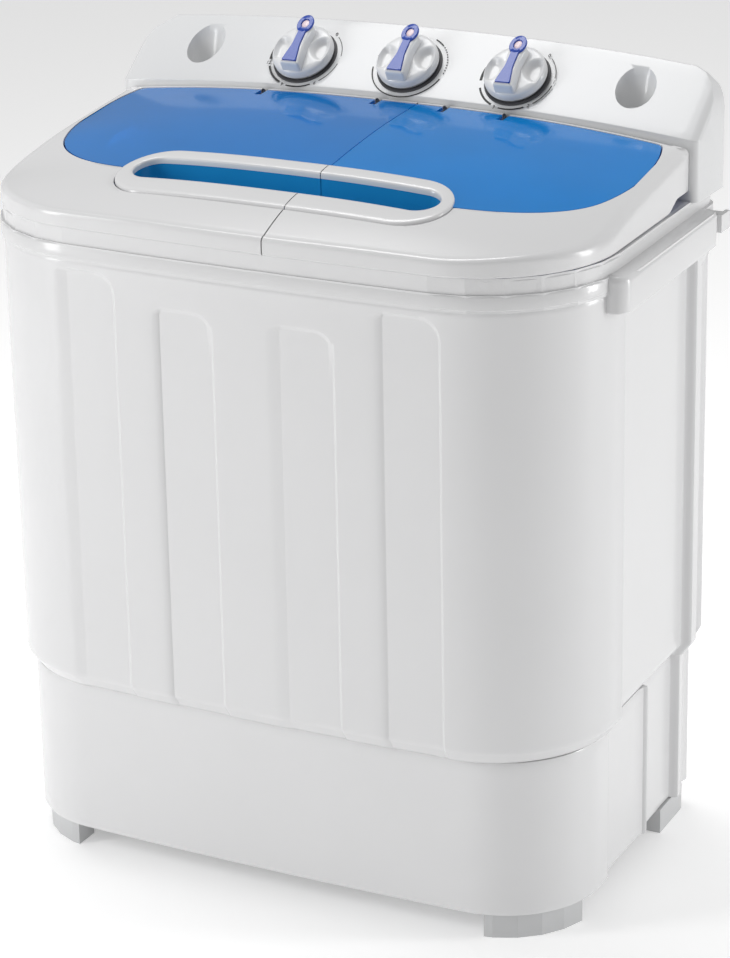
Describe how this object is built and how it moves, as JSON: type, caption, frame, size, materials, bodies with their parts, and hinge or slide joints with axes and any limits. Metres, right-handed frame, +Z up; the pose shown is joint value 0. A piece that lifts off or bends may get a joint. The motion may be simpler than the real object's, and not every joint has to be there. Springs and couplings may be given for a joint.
{
  "type": "twin tub washing machine",
  "caption": "Compact twin tub washer: wash tub with pulsator and spin tub with basket in one white cabinet, clear blue split lid, sloping console with knobs.",
  "frame": {"origin": "on the floor under the middle of the machine's outline", "axes": "+X to the machine's left as seen from its front is minus, so +X points to the spin tub; +Y towards the console and back; +Z up; the front faces -Y"},
  "size_m": [0.5418, 0.328, 0.6496],
  "materials": {
    "white_plastic": "glossy moulded white",
    "console_plastic": "satin light grey-white",
    "knob_plastic": "satin light grey",
    "clear_blue": "clear blue",
    "pointer_blue": "royal blue",
    "grey_plastic": "matte grey",
    "black_rubber": "matte black",
    "plated_steel": "zinc plated",
    "motor_metal": "dark grey enamel"
  },
  "bodies": {
    "cabinet": {"foot_front_left": "black_rubber", "foot_front_right": "black_rubber", "foot_rear_left": "black_rubber", "foot_rear_right": "black_rubber", "base_skirt": "white_plastic", "body_shell": "white_plastic", "rear_panel": "grey_plastic", "rear_screw_1": "plated_steel", "rear_screw_2": "plated_steel", "rear_screw_3": "plated_steel", "rear_screw_4": "plated_steel", "top_frame": "white_plastic", "console_cover": "console_plastic", "inlet_cup_wash": "grey_plastic", "inlet_cup_spin": "grey_plastic", "wash_timer": "grey_plastic", "selector_switch": "grey_plastic", "spin_timer": "grey_plastic", "wash_tub": "white_plastic", "gearbox": "motor_metal", "wash_motor": "motor_metal", "drive_belt": "black_rubber", "spin_outer_tub": "white_plastic", "bellows_seal": "black_rubber", "spin_motor": "motor_metal", "motor_plate": "plated_steel", "suspension_spring_1": "plated_steel", "suspension_spring_2": "plated_steel", "suspension_spring_3": "plated_steel", "brake_post": "plated_steel", "drain_valve": "grey_plastic", "drain_pipe": "black_rubber", "lint_filter": "clear_blue", "motor_capacitor": "grey_plastic", "cord_gland": "black_rubber", "lid_switch": "black_rubber"},
    "wash_lid": {"wash_lid_frame": "white_plastic", "wash_lid_window": "clear_blue", "wash_lid_grip": "white_plastic"},
    "spin_lid": {"spin_lid_frame": "white_plastic", "spin_lid_window": "clear_blue", "spin_lid_grip": "white_plastic"},
    "wash_timer_knob": {"wash_knob": "knob_plastic", "wash_pointer": "pointer_blue"},
    "selector_dial": {"selector_knob": "knob_plastic", "selector_pointer": "pointer_blue"},
    "spin_timer_knob": {"spin_knob": "knob_plastic", "spin_pointer": "pointer_blue"},
    "wash_rotor": {"pulsator": "white_plastic", "pulsator_shaft": "plated_steel", "drive_pulley": "grey_plastic"},
    "motor_rotor": {"motor_shaft": "plated_steel", "motor_pulley": "plated_steel"},
    "spin_rotor": {"spin_basket": "white_plastic", "spin_shaft": "plated_steel", "brake_drum": "plated_steel"},
    "safety_cover": {"spin_safety_cover": "clear_blue"},
    "brake": {"brake_lever": "plated_steel"},
    "valve_plunger": {"drain_plunger": "grey_plastic"},
    "switch_button": {"lid_switch_button": "grey_plastic"}
  },
  "joints": [
    {"name": "wash_lid_hinge", "type": "hinge", "parent": "cabinet", "child": "wash_lid", "pos_m": [0, 0.0825, 0.5865], "axis": [-1, 0, 0], "range_deg": [0, 92]},
    {"name": "spin_lid_hinge", "type": "hinge", "parent": "cabinet", "child": "spin_lid", "pos_m": [0, 0.0825, 0.5865], "axis": [-1, 0, 0], "range_deg": [0, 92]},
    {"name": "wash_timer_turn", "type": "hinge", "parent": "cabinet", "child": "wash_timer_knob", "pos_m": [-0.095, 0.1228, 0.61457], "axis": [0, 0.6157, -0.788], "range_deg": [0, 300]},
    {"name": "selector_turn", "type": "hinge", "parent": "cabinet", "child": "selector_dial", "pos_m": [0, 0.1228, 0.61595], "axis": [0, 0.6157, -0.788], "range_deg": [-70, 70]},
    {"name": "spin_timer_turn", "type": "hinge", "parent": "cabinet", "child": "spin_timer_knob", "pos_m": [0.095, 0.1228, 0.61457], "axis": [0, 0.6157, -0.788], "range_deg": [0, 300]},
    {"name": "pulsator_spin", "type": "hinge", "parent": "cabinet", "child": "wash_rotor", "pos_m": [-0.115, -0.03125, 0.2413], "axis": [0, 0, 1], "continuous": true},
    {"name": "motor_spin", "type": "hinge", "parent": "cabinet", "child": "motor_rotor", "pos_m": [-0.177, 0.0985, 0.1253], "axis": [0, 0, 1], "continuous": true},
    {"name": "basket_spin", "type": "hinge", "parent": "cabinet", "child": "spin_rotor", "pos_m": [0.141, -0.04, 0.2543], "axis": [0, 0, 1], "continuous": true},
    {"name": "cover_lift", "type": "slide", "parent": "spin_rotor", "child": "safety_cover", "axis": [0, 0, 1], "range_m": [0, 0.03]},
    {"name": "brake_pivot", "type": "hinge", "parent": "cabinet", "child": "brake", "pos_m": [0.187, 0.014, 0.1813], "axis": [0, 0, 1], "range_deg": [0, 1.9]},
    {"name": "valve_lift", "type": "slide", "parent": "cabinet", "child": "valve_plunger", "axis": [0, 0, -1], "range_m": [0, 0.006], "stiffness_N_per_m": 150, "springref_m": -0.004},
    {"name": "switch_press", "type": "slide", "parent": "cabinet", "child": "switch_button", "axis": [0, 0, 1], "range_m": [0, 0.004]}
  ],
  "couplings": [
    {"joint": "motor_spin", "follows": "pulsator_spin", "ratio": 4.125},
    {"joint": "brake_pivot", "follows": "spin_lid_hinge", "ratio": 0.0195},
    {"joint": "switch_press", "follows": "spin_lid_hinge", "m_per_rad": 0.0024}
  ]
}
